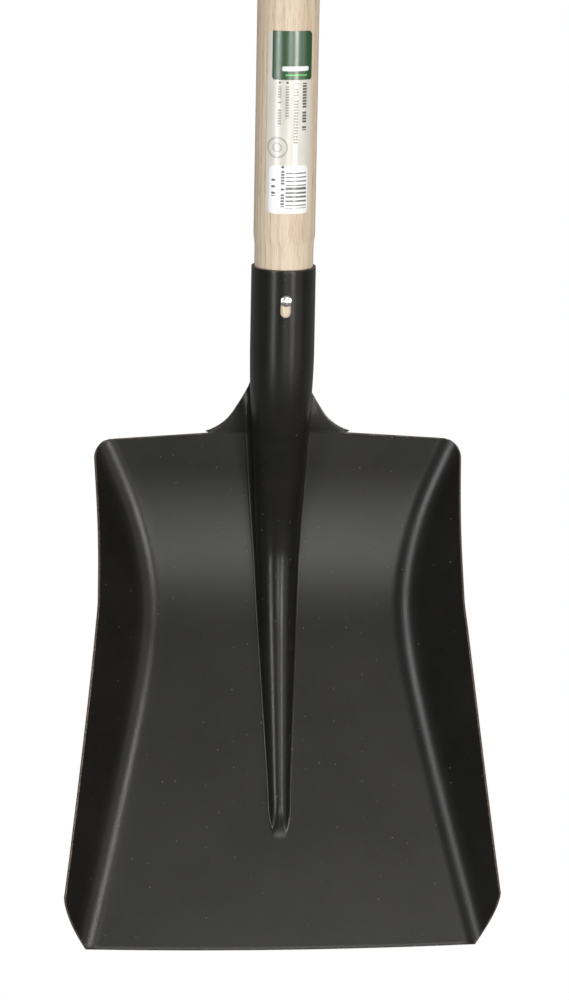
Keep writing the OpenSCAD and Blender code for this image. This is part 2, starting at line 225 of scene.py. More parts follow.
class Shader:
    """One material and the nodes that are added to it."""

    def __init__(self, name: str) -> None:
        """Start an empty material.

        Args:
            name: the material's name.
        """
        self.material = bpy.data.materials.new(name)
        self.material.use_nodes = True
        self.tree = self.material.node_tree
        self.tree.nodes.clear()

    def node(
        self,
        kind: str,
        settings: dict[str, object] | None = None,
        inputs: dict[int | str, object] | None = None,
        out: int | str = 0,
    ) -> Sock:
        """Add a node.

        Args:
            kind: Blender's type name of the node.
            settings: its properties, which are set first.
            inputs: values or links of its sockets, by index or name.
            out: the output that is wanted.

        Returns:
            That output.
        """
        made = self.tree.nodes.new(kind)
        for key, value in (settings or {}).items():
            setattr(made, key, value)
        for key, value in (inputs or {}).items():
            if isinstance(value, Sock):
                self.tree.links.new(value.socket, made.inputs[key])
            else:
                made.inputs[key].default_value = value
        return Sock(self, made.outputs[out])

    def spot(self, scale: Point = (1.0, 1.0, 1.0)) -> Sock:
        """Give the place on the piece in millimetres.

        Args:
            scale: stretch along X, Y and Z.

        Returns:
            A vector.
        """
        place = self.node("ShaderNodeTexCoord", out="Object")
        factors = tuple(s / MM for s in scale)
        settings = {"operation": "MULTIPLY"}
        return self.node("ShaderNodeVectorMath", settings, {0: place, 1: factors})

    def noise(self, place: Sock, scale: float, detail: float = 3.0, rough: float = 0.5) -> Sock:
        """Add a noise.

        Args:
            place: where it is read.
            scale: its lumps per unit of place.
            detail: its octaves.
            rough: how much the fine octaves count.

        Returns:
            A value from 0 to 1, mostly near 0.5.
        """
        values = {"Vector": place, "Scale": scale, "Detail": detail, "Roughness": rough}
        return self.node("ShaderNodeTexNoise", {}, values)

    def blend(self, a: "Sock | Colour", b: "Sock | Colour", factor: "Sock | float") -> Sock:
        """Blend two colours.

        Args:
            a: colour at 0.
            b: colour at 1.
            factor: share of b.

        Returns:
            The colour.
        """
        values: dict[int | str, object] = {0: factor}
        for key, colour in ((6, a), (7, b)):
            values[key] = colour if isinstance(colour, Sock) else (*colour, 1.0)
        return self.node("ShaderNodeMix", {"data_type": "RGBA"}, values, out=2)

    def tint(self, colour: Sock, amount: Sock) -> Sock:
        """Multiply a colour by a value.

        Args:
            colour: the colour.
            amount: the value.

        Returns:
            The darker or lighter colour.
        """
        settings = {"data_type": "RGBA", "blend_type": "MULTIPLY"}
        return self.node("ShaderNodeMix", settings, {0: 1.0, 6: colour, 7: amount}, out=2)

    def axes(self, vector: Sock) -> tuple[Sock, Sock, Sock]:
        """Split a vector.

        Args:
            vector: the vector.

        Returns:
            Its X, Y and Z.
        """
        x = self.node("ShaderNodeSeparateXYZ", {}, {0: vector})
        y, z = (Sock(self, x.socket.node.outputs[k]) for k in (1, 2))
        return x, y, z

    def bump(self, height: Sock, depth_mm: float, below: Sock | None = None) -> Sock:
        """Turn a height into a normal.

        Args:
            height: height from 0 to 1.
            depth_mm: what a height of 1 stands for.
            below: a normal that it is added to.

        Returns:
            The normal.
        """
        values: dict[int | str, object] = {"Height": height, "Distance": depth_mm * MM}
        if below is not None:
            values["Normal"] = below
        return self.node("ShaderNodeBump", {}, values)

    def surface(self, values: dict[int | str, object]) -> bpy.types.Material:
        """Close the material with a Principled shader.

        Args:
            values: values or links of the Principled sockets.

        Returns:
            The material.
        """
        closed = self.node("ShaderNodeBsdfPrincipled", {}, values)
        self.node_output(closed)
        return self.material

    def node_output(self, shader: Sock) -> None:
        """Join a shader to the material's output."""
        made = self.tree.nodes.new("ShaderNodeOutputMaterial")
        self.tree.links.new(shader.socket, made.inputs["Surface"])


# ---------------------------------------------------------------- finishes


@dataclass(frozen=True)
class BlackPaint:
    """Semi-gloss black paint on steel, rubbed bare along the cut edge."""

    deep: Colour = (0.0090, 0.0087, 0.0076)
    dusty: Colour = (0.0122, 0.0118, 0.0103)
    speck: Colour = (0.16, 0.15, 0.135)
    bare: Colour = (0.20, 0.15, 0.12)
    rough: float = 0.29
    speck_size: float = 0.46

    def material(self) -> bpy.types.Material:
        """Build the paint.

        Returns:
            The material.
        """
        sh = Shader("semi_gloss_black_paint")
        place = sh.spot()
        cloud = sh.noise(place, 0.018, 4.0, 0.6)
        peel = sh.noise(place, 0.55, 2.0)
        grit = sh.noise(place, 2.6, 2.0)
        base = sh.blend(self.deep, self.dusty, cloud.rise(0.3, 0.72))

        flat = {"voronoi_dimensions": "2D"}
        cell = {"Vector": place, "Scale": 0.105, "Randomness": 1.0}
        near = sh.node("ShaderNodeTexVoronoi", flat, cell, out="Distance")
        pick, size, _ = sh.axes(sh.node("ShaderNodeTexVoronoi", flat, cell, out="Color"))
        radius = (size * 0.75 + 0.35) * self.speck_size
        dots = (1 - (near / 0.105 / radius).rise(0.55, 1.0)) * (pick > 0.78)
        base = sh.blend(base, self.speck, dots * 0.75)

        gap = sh.node("ShaderNodeAttribute", {"attribute_name": "edge_gap"}, out="Fac")
        rub = (0.95 + (sh.noise(place, 0.16, 4.0, 0.7) - 0.5) * 1.5 - gap).rise(-0.12, 0.16)
        chips = (1.1 - gap * 0.45 - sh.noise(place, 0.45, 3.0, 0.6) * 1.5).rise(0.0, 0.08)
        worn = (rub * 0.28 + chips * 0.25).clamped()
        base = sh.blend(base, self.bare, worn)

        rough = self.rough + (grit - 0.5) * 0.12 + (cloud - 0.5) * 0.08 + dots * 0.25
        normal = sh.bump(peel, 0.028, sh.bump(grit, 0.008))
        normal = sh.bump(dots - worn * 0.6, 0.03, normal)
        return sh.surface(
            {
                "Base Color": base,
                "Roughness": rough,
                "Metallic": worn * 0.55,
                "Specular IOR Level": 0.16,
                "Normal": normal,
            }
        )


@dataclass(frozen=True)
class AshWood:
    """Pale sanded ash with long grain."""

    pale: Colour = (0.60, 0.495, 0.375)
    late: Colour = (0.44, 0.315, 0.205)
    pore: Colour = (0.33, 0.225, 0.14)
    ring_gap: float = 3.4
    heart: tuple[float, float] = (-31.0, -58.0)

    def material(self) -> bpy.types.Material:
        """Build the wood.

        Returns:
            The material.
        """
        sh = Shader("sanded_ash")
        place = sh.spot()
        slow = sh.noise(sh.spot((1.0, 0.035, 1.0)), 0.05, 3.0, 0.55)
        x, y, z = sh.axes(place)
        dx = x - self.heart[0] + (slow - 0.5) * 16.0
        dz = z - self.heart[1]
        depth = (dx * dx + dz * dz) ** 0.5
        ring = depth / self.ring_gap
        turn = ring - ring.floor()
        line = turn.rise(0.45, 0.93) * (1 - turn.rise(0.95, 1.0))

        streak = sh.noise(sh.spot((1.0, 0.012, 1.0)), 0.9, 4.0, 0.65)
        fibre = sh.noise(sh.spot((1.0, 0.03, 1.0)), 1.6, 4.0, 0.65)
        vessel = sh.noise(sh.spot((1.0, 0.07, 1.0)), 1.25, 3.0, 0.55)
        pores = vessel.rise(0.53, 0.66) * (0.45 + line * 0.55)
        patch = sh.noise(sh.spot((1.0, 0.1, 1.0)), 0.028, 2.0)

        base = sh.blend(self.pale, self.late, line * 0.42 + (streak.rise(0.42, 0.75)) * 0.28)
        base = sh.blend(base, self.pore, pores * 0.6)
        base = sh.tint(base, 1.04 + (fibre - 0.5) * 0.5 + (patch - 0.5) * 0.16)
        height = fibre * 0.5 - pores * 0.7 - line * 0.15
        return sh.surface(
            {
                "Base Color": base,
                "Roughness": 0.52 + (fibre - 0.5) * 0.16 + pores * 0.12,
                "Specular IOR Level": 0.4,
                "Normal": sh.bump(height, 0.05),
            }
        )


@dataclass(frozen=True)
class Zinc:
    """Bright zinc plating with a faint yellow-green cast."""

    bright: Colour = (0.80, 0.82, 0.82)
    cast: Colour = (0.66, 0.70, 0.60)

    def material(self) -> bpy.types.Material:
        """Build the plating.

        Returns:
            The material.
        """
        sh = Shader("bright_zinc_plating")
        place = sh.spot()
        cloud = sh.noise(place, 0.35, 3.0)
        fine = sh.noise(place, 6.0, 2.0)
        return sh.surface(
            {
                "Base Color": sh.blend(self.bright, self.cast, cloud.rise(0.4, 0.7)),
                "Metallic": 1.0,
                "Roughness": 0.26 + (fine - 0.5) * 0.2,
                "Normal": sh.bump(fine, 0.006),
            }
        )


@dataclass(frozen=True)
class GripPlastic:
    """Moulded black plastic with a fine spark texture."""

    dark: Colour = (0.016, 0.016, 0.017)
    light: Colour = (0.028, 0.028, 0.029)

    def material(self) -> bpy.types.Material:
        """Build the plastic.

        Returns:
            The material.
        """
        sh = Shader("moulded_black_plastic")
        place = sh.spot()
        spark = sh.noise(place, 1.7, 3.0, 0.6)
        cloud = sh.noise(place, 0.03, 3.0)
        seam_gap = sh.node("ShaderNodeAttribute", {"attribute_name": "seam_gap"}, out="Fac")
        seam = 1 - abs(seam_gap).rise(0.05, 0.3)
        return sh.surface(
            {
                "Base Color": sh.blend(self.dark, self.light, cloud.rise(0.3, 0.7)),
                "Roughness": 0.5 + (spark - 0.5) * 0.2 - seam * 0.1,
                "Normal": sh.bump(seam, 0.12, sh.bump(spark, 0.035)),
            }
        )


@dataclass(frozen=True)
class PrintedFilm:
    """Self-adhesive film: green block, text stood in for by dashes, ring and bar panel."""

    film: Colour = (0.60, 0.57, 0.51)
    green: Colour = (0.018, 0.066, 0.020)
    lime: Colour = (0.10, 0.52, 0.10)
    white: Colour = (0.76, 0.76, 0.75)
    ink: Colour = (0.035, 0.035, 0.033)
    grey: Colour = (0.17, 0.17, 0.16)
    aged: Colour = (0.52, 0.485, 0.42)
    soft: float = 0.13
    bar_step: float = 2.6
    bar_least: float = 0.22
    bar_spread: float = 0.5

    def panel(self, at: tuple[Sock, Sock], middle: tuple[float, float],
              half: tuple[float, float], corner: float) -> Sock:
        """Mask a rectangle with round corners.

        Args:
            at: place across and along the film.
            middle: its middle.
            half: its half width and half height.
            corner: radius of its corners.

        Returns:
            The mask.
        """
        qx = (abs(at[0] - middle[0]) - (half[0] - corner)).at_least(0.0)
        qy = (abs(at[1] - middle[1]) - (half[1] - corner)).at_least(0.0)
        out = (qx * qx + qy * qy) ** 0.5 - corner
        return 1 - out.rise(-self.soft, self.soft)

    def dashes(self, sh: Shader, at: tuple[Sock, Sock], across: tuple[float, float],
               along: tuple[float, float], step: float, seed: float, fill: float) -> Sock:
        """Mask a line of short dashes that runs along the film.

        Args:
            sh: the material.
            at: place across and along the film.
            across: the line's two sides.
            along: its two ends.
            step: length of one dash and its gap.
            seed: which of the random patterns it takes.
            fill: share of each step that the dash fills.

        Returns:
            The mask.
        """
        place = at[1] / step + seed
        part = place - place.floor()
        pick = sh.node("ShaderNodeTexWhiteNoise", {"noise_dimensions": "1D"}, {1: place.floor()})
        dash = part.band(0.1, fill, 0.05) * (pick > 0.14)
        return dash * at[0].band(*across, self.soft) * at[1].band(*along, self.soft)

    def bars(self, sh: Shader, at: tuple[Sock, Sock]) -> Sock:
        """Mask the bars of the white panel.

        Args:
            sh: the material.
            at: place across and along the film.

        Returns:
            The mask.
        """
        place = at[1] / self.bar_step
        pick = sh.node("ShaderNodeTexWhiteNoise", {"noise_dimensions": "1D"},
                       {1: place.floor() + 31.0})
        part = place - place.floor()
        wide = part < self.bar_least + pick * self.bar_spread
        inside = at[0].band(-1.8, 12.4, self.soft) * at[1].band(3.6, 28.6, self.soft)
        return wide * inside

    def material(self) -> bpy.types.Material:
        """Build the film and its print.

        Returns:
            The material.
        """
        sh = Shader("printed_film")
        spot = sh.node("ShaderNodeAttribute", {"attribute_name": "print_mm"}, out="Vector")
        a, b, _ = sh.axes(spot)
        at = (a, b)
        cloud = sh.noise(sh.spot((1.0, 0.4, 1.0)), 0.12, 3.0)
        base = sh.blend(self.film, self.aged, cloud.rise(0.35, 0.75) * 0.5)
        marks: list[tuple[Sock, Colour, float]] = [
            (self.panel(at, (1.7, 103.4), (13.8, 17.2), 2.6) * (b > 86.6), self.green, 1.0),
            (a.band(-3.2, 11.5, 0.2) * b.band(89.2, 90.2, 0.15), self.lime, 0.9),
            (self.panel(at, (3.6, 93.8), (9.0, 1.5), 1.1), self.white, 0.95),
            (self.dashes(sh, at, (8.4, 11.4), (54.0, 84.6), 1.9, 3.0, 0.8), self.ink, 0.95),
            (self.dashes(sh, at, (2.6, 5.4), (45.0, 84.6), 1.9, 17.0, 0.7), self.grey, 1.0),
            (self.dashes(sh, at, (-2.9, -0.6), (62.0, 82.5), 1.7, 40.0, 0.7), self.grey, 0.9),
            (self.dashes(sh, at, (-8.0, -5.6), (57.5, 82.5), 1.7, 71.0, 0.7), self.grey, 0.9),
            (self.panel(at, (-1.8, 84.9), (0.8, 0.8), 0.7), self.ink, 1.0),
            (self.panel(at, (-6.8, 84.9), (0.8, 0.8), 0.7), self.ink, 1.0),
        ]
        ox, oy = a + 7.8, b - 43.0
        reach = (ox * ox + oy * oy) ** 0.5
        marks.append((reach.band(5.8, 7.0, 0.25), self.grey, 0.55))
        marks.append((reach.band(2.2, 3.2, 0.25), self.grey, 0.5))
        marks.append((self.panel(at, (0.2, 15.8), (13.2, 15.6), 3.0), self.white, 1.0))
        marks.append((self.bars(sh, at), self.ink, 0.9))
        marks.append(
            (self.dashes(sh, at, (-4.9, -2.7), (4.5, 28.0), 1.9, 11.0, 0.7), self.ink, 0.85))
        marks.append(
            (self.dashes(sh, at, (-11.2, -8.4), (11.5, 24.0), 2.1, 90.0, 0.75), self.ink, 0.95))
        marks.append((self.panel(at, (-3.9, 30.4), (0.9, 0.7), 0.6), self.ink, 0.95))
        for mask, colour, strength in marks:
            base = sh.blend(base, colour, mask * strength)
        wave = sh.noise(sh.spot((1.0, 0.25, 1.0)), 0.1, 2.0)
        return sh.surface(
            {
                "Base Color": base,
                "Roughness": 0.3 + (cloud - 0.5) * 0.1,
                "Coat Weight": 0.3,
                "Coat Roughness": 0.2,
                "Normal": sh.bump(wave, 0.09),
            }
        )


@dataclass(frozen=True)
class StudioFloor:
    """Floor that looks plain white and throws back only part of the light."""

    white: Colour = (1.0, 1.0, 1.0)
    grey: Colour = (0.34, 0.34, 0.335)

    def material(self) -> bpy.types.Material:
        """Build the floor's finish.

        Returns:
            The material.
        """
        sh = Shader("studio_floor")
        seen = sh.node("ShaderNodeLightPath", out="Is Camera Ray")
        matt = sh.node("ShaderNodeBsdfDiffuse", {}, {"Color": (*self.grey, 1.0)})
        glow = sh.node("ShaderNodeEmission", {}, {"Color": (*self.white, 1.0)})
        sh.node_output(sh.node("ShaderNodeMixShader", {}, {0: seen, 1: matt, 2: glow}))
        return sh.material


# ---------------------------------------------------------------- meshes


def make_piece(name: str, points: np.ndarray, faces: list[tuple[int, ...]],
               sharp: float = 42.0) -> bpy.types.Object:
    """Make a mesh object from points in millimetres.

    Args:
        name: the piece's name.
        points: one row of X, Y and Z for each point.
        faces: the points of each face.
        sharp: angle in degrees above which an edge stays sharp.

    Returns:
        The object, in metres.
    """
    mesh = bpy.data.meshes.new(name)
    mesh.from_pydata((np.asarray(points) * MM).tolist(), [], faces)
    mesh.validate()
    piece = bpy.data.objects.new(name, mesh)
    bpy.context.scene.collection.objects.link(piece)
    smooth_faces(piece, sharp)
    return piece


def smooth_faces(piece: bpy.types.Object, sharp: float) -> None:
    """Shade a piece smooth, apart from its sharp edges.

    Args:
        piece: the object.
        sharp: angle in degrees above which an edge stays sharp.
    """
    piece.data.shade_smooth()
    piece.data.set_sharp_from_angle(angle=math.radians(sharp))


def apply_modifiers(piece: bpy.types.Object) -> None:
    """Put the result of a piece's modifiers into its mesh.

    Args:
        piece: the object.
    """
    graph = bpy.context.evaluated_depsgraph_get()
    made = bpy.data.meshes.new_from_object(piece.evaluated_get(graph))
    old = piece.data
    piece.modifiers.clear()
    piece.data = made
    name = old.name
    bpy.data.meshes.remove(old)
    made.name = name


def cut(piece: bpy.types.Object, cutter: bpy.types.Object) -> None:
    """Cut one solid out of another and throw the cutter away.

    Args:
        piece: the solid that stays.
        cutter: the solid that is taken out of it.
    """
    step = piece.modifiers.new("cut", "BOOLEAN")
    step.operation = "DIFFERENCE"
    step.solver = "EXACT"
    step.object = cutter
    apply_modifiers(piece)
    mesh = cutter.data
    bpy.data.objects.remove(cutter)
    bpy.data.meshes.remove(mesh)


def lathe(outline: list[tuple[float, float]], sides: int) -> tuple[np.ndarray, list]:
    """Turn an outline round the Y axis.

    Args:
        outline: place along Y and radius of each point, first and last on the axis.
        sides: number of points round.

    Returns:
        The points and the faces of a closed solid.
    """
    angles = np.arange(sides) * 2 * np.pi / sides
    rings = outline[1:-1]
    points = [[0.0, outline[0][0], 0.0]]
    for y, r in rings:
        points += [[r * math.sin(a), y, r * math.cos(a)] for a in angles]
    points.append([0.0, outline[-1][0], 0.0])
    last = len(points) - 1
    faces: list[tuple[int, ...]] = []
    for k in range(sides):
        n = (k + 1) % sides
        faces.append((0, 1 + n, 1 + k))
        for i in range(len(rings) - 1):
            base, above = 1 + i * sides, 1 + (i + 1) * sides
            faces.append((base + k, base + n, above + n, above + k))
        top = 1 + (len(rings) - 1) * sides
        faces.append((top + k, top + n, last))
    return np.array(points), faces


def rounded(outline: list[tuple[float, float, float]], steps: int = 5) -> list[tuple[float, float]]:
    """Round the corners of an outline.

    Args:
        outline: two coordinates of each corner and its radius.
        steps: pieces in each rounded corner.

    Returns:
        The outline's points.
    """
    made: list[tuple[float, float]] = []
    for k, (px, py, r) in enumerate(outline):
        here = Vector((px, py))
        if r <= 0 or k in (0, len(outline) - 1):
            made.append((px, py))
            continue
        before = Vector(outline[k - 1][:2]) - here
        after = Vector(outline[k + 1][:2]) - here
        reach = min(r, before.length * 0.45, after.length * 0.45)
        start = here + before.normalized() * reach
        end = here + after.normalized() * reach
        for i in range(steps + 1):
            t = i / steps
            spot = start * (1 - t) ** 2 + here * 2 * t * (1 - t) + end * t**2
            made.append((spot.x, spot.y))
    return made


@dataclass(frozen=True)
class Layout:
    """Places that all pieces share, in millimetres."""

    shoulder: float
    axis_z: float

    @classmethod
    def from_frame(cls, socket_len: float) -> "Layout":
        """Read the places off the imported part.

        Args:
            socket_len: length of the socket behind the shoulders.

        Returns:
            The layout.
        """
        _, blade_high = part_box("blade")
        low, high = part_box("shaft")
        return cls(blade_high.y / MM - socket_len, (low.z + high.z) / 2 / MM)


# ---------------------------------------------------------------- pieces


@dataclass
class ScoopBlade:
    """Pressed blade with its rib, frog and rolled socket, all from one sheet."""

    layout: Layout
    sheet: float = 1.6
    blade_len: float = 343.0
    tip_w: float = 257.0
    front_w: float = 286.0
    rear_w: float = 242.0
    corner_back: float = 34.0
    floor_w: float = 151.0
    wing_angle: float = 50.0
    fold_r: float = 26.0
    waist_round: float = 0.2
    lift: float = 19.0
    heel_len: float = 24.0
    bend_len: float = 108.0
    rear_corner_r: float = 10.0
    shoulder_slope: float = 3.6
    tip_bow: float = 2.0
    rib_r: float = 6.8
    rib_h: float = 4.0
    rib_start: float = 73.0
    rib_nose: float = 21.0
    nose_spread: float = 0.8
    kink_r: float = 12.8
    kink_h: float = 14.5
    kink_back: float = 82.0
    rib_fillet: float = 3.4
    neck_root_r: float = 5.5
    socket_od: float = 42.0
    socket_len: float = 115.0
    roll_len: float = 84.0
    frog_back: float = 60.0
    seam_gap: float = 2.4
    neck_fillet: float = 14.0
    slot_w: float = 7.0
    slot_len: float = 15.0
    slot_back: float = 16.0
    edge_inset: float = 0.4
    crest_end: float = 9.0
    fillet_end: float = 12.0
    neck_end: float = 13.0
    floor_end: float = 15.0
    rim_end: float = 21.0
    piece: bpy.types.Object | None = field(default=None, init=False)

    def __post_init__(self) -> None:
        """Work out the lengths that follow from the sizes."""
        self.tube_r = (self.socket_od - self.sheet) / 2
        self.bend_r = self.bend_len / math.radians(self.lift)
        self.front_len = self.blade_len - self.heel_len - self.bend_len
        self.seam_s = math.pi * self.tube_r - self.seam_gap / 2
        self.waist = self.front_len + 16.0
        self.rim_waist = self.rear_w / 2 - 0.8
        self.tip_floor = self.tip_w / 2 - 8.0
        self.rear_floor = self.rear_w / 2 - 15.0
        self.kink_u = self.blade_len - self.kink_back
        self.nose_u = self.rib_start + self.rib_nose
        slope = self.floor_slope(self.kink_u)
        self.kink_z = self.floor_z(self.kink_u) + self.kink_h * math.cos(slope)
        self.tube_top = self.sheet / 2 + 2 * self.tube_r

    def floor_slope(self, u: float) -> float:
        """Return the floor's slope in radians at u mm behind the tip."""
        back = self.blade_len - self.heel_len - u
        return math.radians(share(back, 0.0, self.bend_len) * self.lift)

    def floor_y(self, u: float) -> float:
        """Give the floor's place along Y.

        Args:
            u: distance behind the tip in mm.

        Returns:
            Y in mm from the shoulders.
        """
        d = self.blade_len - u
        if d <= self.heel_len:
            return -d
        straight = max(0.0, d - self.heel_len - self.bend_len)
        return (-self.heel_len - self.bend_r * math.sin(self.floor_slope(u))
                - straight * math.cos(math.radians(self.lift)))

    def floor_z(self, u: float) -> float:
        """Give the floor's height.

        Args:
            u: distance behind the tip in mm.

        Returns:
            Z in mm.
        """
        d = self.blade_len - u
        straight = max(0.0, d - self.heel_len - self.bend_len)
        return (self.sheet / 2 + self.bend_r * (1 - math.cos(self.floor_slope(u)))
                + straight * math.sin(math.radians(self.lift)))

    def floor_half(self, u: float) -> float:
        """Give half the width of the flat floor.

        Args:
            u: distance behind the tip in mm.

        Returns:
            The half width in mm.
        """
        if u < self.waist:
            turn = self.waist_round
            flare = (math.hypot(1 - u / self.waist, turn) - turn) / (math.hypot(1, turn) - turn)
            return mix(self.floor_w / 2, self.tip_floor, flare)
        k = max(0.0, (u - self.waist) / (self.blade_len - self.waist))
        return mix(self.floor_w / 2, self.rear_floor, k**1.7)

    def rim_half(self, u: float) -> float:
        """Give half the width over the wing rims.

        Args:
            u: distance behind the tip in mm.

        Returns:
            The half width in mm.
        """
        tail = min(max(0.0, u - (self.blade_len - self.rear_corner_r)), self.rear_corner_r)
        k = share(u, self.waist, self.blade_len - self.rear_corner_r)
        if u < self.corner_back:
            k = 1 - (1 - max(u, 0.0) / self.corner_back) ** 1.55
            return mix(self.tip_w / 2, self.front_w / 2, k)
        if u < self.waist:
            left = 1 - (u - self.corner_back) / (self.waist - self.corner_back)
            return mix(self.rim_waist, self.front_w / 2, left**1.1)
        corner = self.rear_corner_r - math.sqrt(self.rear_corner_r**2 - tail**2)
        dip = 1.2 * math.sin(math.pi * k)
        return mix(self.rim_waist, self.rear_w / 2, k) - dip - corner

    def crest_z(self, y: float) -> float:
        """Return the height of the crest line at y mm from the shoulders."""
        k = smooth(share(y, self.floor_y(self.kink_u), self.frog_back))
        return mix(self.kink_z, self.tube_top, k)

    def crest(self, u: float) -> tuple[float, float, float]:
        """Give the rib or frog at u mm behind the tip.

        Args:
            u: distance behind the tip along the floor.

        Returns:
            Crest radius, crest height and radius of the foot fillet.
        """
        rib = share(u, self.nose_u, self.kink_u)
        if u > self.kink_u:
            k = share(u, self.kink_u, self.blade_len + self.frog_back)
            r = mix(self.kink_r, self.tube_r, k)
            rise = self.crest_z(self.floor_y(u)) - self.floor_z(u)
            h = rise / math.cos(self.floor_slope(u))
        else:
            r = mix(self.rib_r, self.kink_r, rib)
            h = mix(self.rib_h, self.kink_h, rib**1.4)
        foot = share(u, self.kink_u, self.blade_len)
        return r, h, mix(self.rib_fillet, self.neck_root_r, foot)

    @staticmethod
    def runs(r: float, h: float, f: float) -> tuple[float, float, float]:
        """Measure the parts of a section.

        Args:
            r: crest radius.
            h: crest height.
            f: foot radius.

        Returns:
            Crest angle, length down to the foot fillet and length of the fillet.
        """
        a = math.pi / 2 if h >= r + f else math.acos(1 - h / (r + f))
        return a, r * a + max(0.0, h - r - f), f * a

    def section_point(self, r: float, h: float, f: float, s: float) -> tuple[float, float]:
        """Walk down a section from its crest.

        Args:
            r: crest radius.
            h: crest height.
            f: foot radius.
            s: length along the sheet from the crest.

        Returns:
            Distance from the middle and height over the floor.
        """
        a, run, turn = self.runs(r, h, f)
        arc = r * a
        foot = (r + f) * math.sin(a)
        if s < arc:
            b = s / r
            return r * math.sin(b), h - r * (1 - math.cos(b))
        if s < run:
            down = s - arc
            return (r * math.sin(a) + down * math.cos(a),
                    h - r * (1 - math.cos(a)) - down * math.sin(a))
        if s < run + turn:
            b = a * (1 - (s - run) / max(turn, 0.001))
            return foot - f * math.sin(b), f * (1 - math.cos(b))
        return foot + s - run - turn, 0.0

    def rib_s(self, r: float, h: float, f: float, j: float) -> float:
        """Give the length from the crest at a column.

        Args:
            r: crest radius.
            h: crest height.
            f: foot radius.
            j: column, counted from the crest.

        Returns:
            The length along the sheet.
        """
        _, run, turn = self.runs(r, h, f)
        foot = max(0.0, j - self.crest_end) / (self.fillet_end - self.crest_end)
        return run * min(j, self.crest_end) / self.crest_end + turn * foot

    def nose(self, u: float) -> float:
        """Return how far the rib has risen out of the floor at u mm behind the tip."""
        return smooth(share(u, self.rib_start, self.nose_u))

    def ribbed(self, u: float, j: float) -> tuple[float, float]:
        """Give a point of the rib.

        Args:
            u: distance behind the tip.
            j: column, up to the end of the foot fillet.

        Returns:
            Distance from the middle and height over the floor.
        """
        r, h, f = self.crest(u)
        x, z = self.section_point(r, h, f, self.rib_s(r, h, f, j))
        up = self.nose(u)
        start = self.nose_spread
        spread = mix(3.0, start, u / self.rib_start) if u < self.rib_start else mix(start, 1.0, up)
        return x * spread, z * up

    def wing_point(self, u: float, k: float) -> tuple[float, float]:
        """Give a point of the fold and wing.

        Args:
            u: distance behind the tip.
            k: share of the way from the floor to the rim.

        Returns:
            Distance from the middle and height over the floor.
        """
        reach = self.rim_half(u) - self.floor_half(u)
        a = min(math.radians(self.wing_angle), math.asin(min(1.0, reach / self.fold_r)))
        arc = self.fold_r * a
        wall = max(0.0, (reach - self.fold_r * math.sin(a)) / math.cos(a))
        s = (arc + wall) * k
        bent = min(s, arc)
        b = bent / self.fold_r
        return (self.floor_half(u) + self.fold_r * math.sin(b) + (s - bent) * math.cos(a),
                self.fold_r * (1 - math.cos(b)) + (s - bent) * math.sin(a))

    def blade_section(self, u: float, j: float) -> tuple[float, float]:
        """Give a point of the blade's half section.

        Args:
            u: distance behind the tip.
            j: column, counted from the crest.

        Returns:
            Distance from the middle and height over the floor.
        """
        if j <= self.fillet_end:
            return self.ribbed(u, j)
        if j <= self.floor_end:
            foot = self.ribbed(u, self.fillet_end)[0]
            marks = (self.fillet_end, self.neck_end, self.neck_end + 1, self.floor_end)
            k = float(np.interp(j, marks, (0.0, 0.27, 0.62, 1.0)))
            return mix(foot, self.floor_half(u), k), 0.0
        return self.wing_point(u, (j - self.floor_end) / (self.rim_end - self.floor_end))

    def neck_section(self, d: float, j: float) -> tuple[float, float]:
        """Give a point of the neck, which rolls up from an open section to a tube.

        Args:
            d: distance behind the shoulders.
            j: column, counted from the crest.

        Returns:
            Distance from the middle and height over the floor.
        """
        r, h, f = self.crest(self.blade_len + d)
        gap = max(0.0, self.neck_fillet - d)
        edge = self.seam_s + self.neck_fillet - math.sqrt(self.neck_fillet**2 - gap**2)
        foot = self.rib_s(r, h, f, min(j, self.fillet_end))
        flange = max(0.0, j - self.fillet_end) / (self.neck_end - self.fillet_end)
        k = share(d, 0.0, self.roll_len)
        rolled = 1.2 * k - 0.2 * k**6
        s = mix(mix(foot, edge, flange), edge * j / self.neck_end, rolled)
        flat = self.section_point(r, h, f, s)
        a = s / self.tube_r
        return (mix(flat[0], self.tube_r * math.sin(a), rolled),
                mix(flat[1], self.tube_r * (1 + math.cos(a)), rolled))

    def sheet_point(self, u: float, j: float) -> Point:
        """Give a point in the middle of the sheet.

        Args:
            u: distance behind the tip, more than the blade's length on the neck.
            j: column, negative on the left.

        Returns:
            X, Y from the shoulders and Z.
        """
        x, h = (self.blade_section(u, abs(j)) if u <= self.blade_len
                else self.neck_section(u - self.blade_len, abs(j)))
        if u <= self.blade_len:
            bow = self.tip_bow * (2 * x / self.tip_w) ** 2 * (1 - share(u, 0.0, 60.0))
            drop = (math.tan(math.radians(self.shoulder_slope)) * max(0.0, x - self.tube_r - 20)
                    * smooth(share(u, self.blade_len - 90, self.blade_len)))
            u = u + bow - drop
        a = self.floor_slope(u)
        y, z = self.floor_y(u) + h * math.sin(a), self.floor_z(u) + h * math.cos(a)
        return (-x if j < 0 else x), y, z

